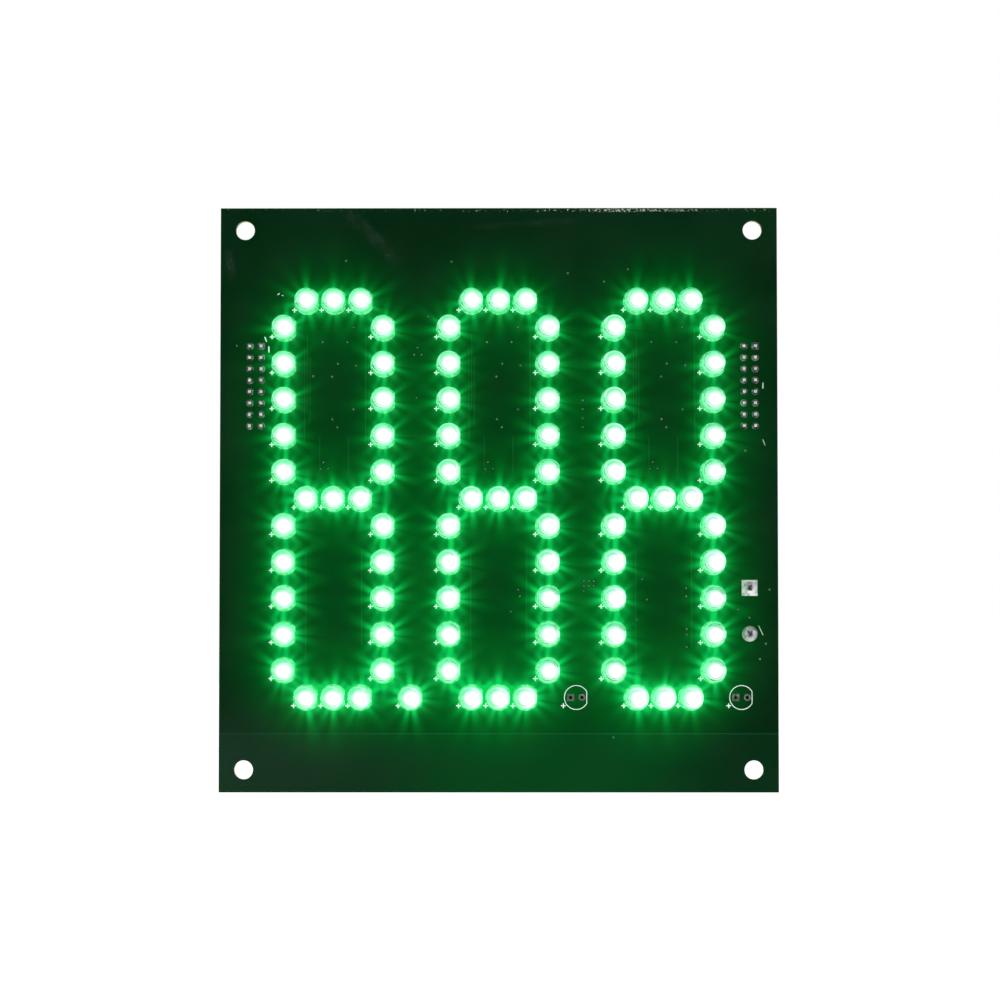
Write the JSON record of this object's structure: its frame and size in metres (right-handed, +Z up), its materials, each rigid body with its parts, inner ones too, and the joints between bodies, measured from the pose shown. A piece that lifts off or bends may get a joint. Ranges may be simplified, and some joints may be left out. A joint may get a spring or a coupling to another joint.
{
  "type": "seven-segment led display module",
  "caption": "Square circuit board carrying large seven-segment digits made of round green LEDs, with ribbon headers and a screw power terminal on its rear.",
  "frame": {"origin": "centre of the four mounting holes, on the board's rear face", "axes": "-Y out of the lit face, +Z up and +X to the right as the digits are read"},
  "size_m": [0.124, 0.0266, 0.13],
  "materials": {
    "solder_mask_board": "glossy dark green solder mask on glass-epoxy board",
    "led_lens": "water-clear epoxy, lit green from inside",
    "led_lead_frame": "silvered steel lead frame",
    "led_chip": "lit semiconductor chip",
    "solder": "bright tin solder",
    "plated_land": "tinned copper land",
    "header_plastic": "moulded black glass-filled polyester",
    "header_pin_tin": "tin-plated brass square pins",
    "terminal_plastic": "moulded green polyamide",
    "screw_steel": "zinc-plated steel",
    "clamp_brass": "nickel-plated brass",
    "contact_tin": "tinned copper alloy",
    "package_plastic": "moulded black epoxy",
    "tinned_lead": "tin-plated leads",
    "resistor_body": "glazed ceramic chip",
    "capacitor_body": "tan ceramic chip",
    "chip_termination": "tinned end terminations",
    "capacitor_base": "moulded black base",
    "capacitor_can": "drawn aluminium can"
  },
  "bodies": {
    "board": {"buffer_leads": "tinned_lead", "buffer_package": "package_plastic", "bulk_capacitor_base": "capacitor_base", "bulk_capacitor_can": "capacitor_can", "bulk_capacitor_tabs": "tinned_lead", "bypass_capacitor_ends": "chip_termination", "bypass_capacitors": "capacitor_body", "centre_digit_anode_posts": "led_lead_frame", "centre_digit_cathode_anvils": "led_lead_frame", "centre_digit_led_solder": "solder", "centre_digit_segment_a_lenses": "led_lens", "centre_digit_segment_b_lenses": "led_lens", "centre_digit_segment_c_lenses": "led_lens", "centre_digit_segment_d_lenses": "led_lens", "centre_digit_segment_e_lenses": "led_lens", "centre_digit_segment_f_lenses": "led_lens", "centre_digit_segment_g_lenses": "led_lens", "circuit_board": "solder_mask_board", "decimal_point_lens": "led_lens", "driver_leads": "tinned_lead", "driver_packages": "package_plastic", "header_solder": "solder", "input_header_pins": "header_pin_tin", "input_header_shell": "header_plastic", "led_chips": "led_chip", "left_digit_anode_posts": "led_lead_frame", "left_digit_cathode_anvils": "led_lead_frame", "left_digit_led_solder": "solder", "left_digit_segment_a_lenses": "led_lens", "left_digit_segment_b_lenses": "led_lens", "left_digit_segment_c_lenses": "led_lens", "left_digit_segment_d_lenses": "led_lens", "left_digit_segment_e_lenses": "led_lens", "left_digit_segment_f_lenses": "led_lens", "left_digit_segment_g_lenses": "led_lens", "negative_terminal_contact": "contact_tin", "output_header_pins": "header_pin_tin", "output_header_shell": "header_plastic", "positive_terminal_contact": "contact_tin", "power_solder": "solder", "power_terminal_housing": "terminal_plastic", "protection_diode": "package_plastic", "protection_diode_leads": "tinned_lead", "right_digit_anode_posts": "led_lead_frame", "right_digit_cathode_anvils": "led_lead_frame", "right_digit_led_solder": "solder", "right_digit_segment_a_lenses": "led_lens", "right_digit_segment_b_lenses": "led_lens", "right_digit_segment_c_lenses": "led_lens", "right_digit_segment_d_lenses": "led_lens", "right_digit_segment_e_lenses": "led_lens", "right_digit_segment_f_lenses": "led_lens", "right_digit_segment_g_lenses": "led_lens", "segment_resistor_ends": "chip_termination", "segment_resistors": "resistor_body", "unfitted_led_lands": "plated_land"},
    "positive_screw": {"positive_clamp_screw": "screw_steel"},
    "negative_screw": {"negative_clamp_screw": "screw_steel"},
    "positive_clamp": {"positive_wire_clamp": "clamp_brass"},
    "negative_clamp": {"negative_wire_clamp": "clamp_brass"}
  },
  "joints": [
    {"name": "positive_screw_turn", "type": "hinge", "parent": "board", "child": "positive_screw", "pos_m": [0.0562, 0.0137, -0.01974], "axis": [0, -1, 0], "range_deg": [0, 1800]},
    {"name": "positive_clamp_rise", "type": "slide", "parent": "board", "child": "positive_clamp", "axis": [0, 1, 0], "range_m": [0, 0.0035]},
    {"name": "negative_screw_turn", "type": "hinge", "parent": "board", "child": "negative_screw", "pos_m": [0.0562, 0.0137, -0.0299], "axis": [0, -1, 0], "range_deg": [0, 1800]},
    {"name": "negative_clamp_rise", "type": "slide", "parent": "board", "child": "negative_clamp", "axis": [0, 1, 0], "range_m": [0, 0.0035]}
  ],
  "couplings": [
    {"joint": "positive_screw_turn", "follows": "positive_clamp_rise", "rad_per_m": 8975.9},
    {"joint": "negative_screw_turn", "follows": "negative_clamp_rise", "rad_per_m": 8975.9}
  ]
}
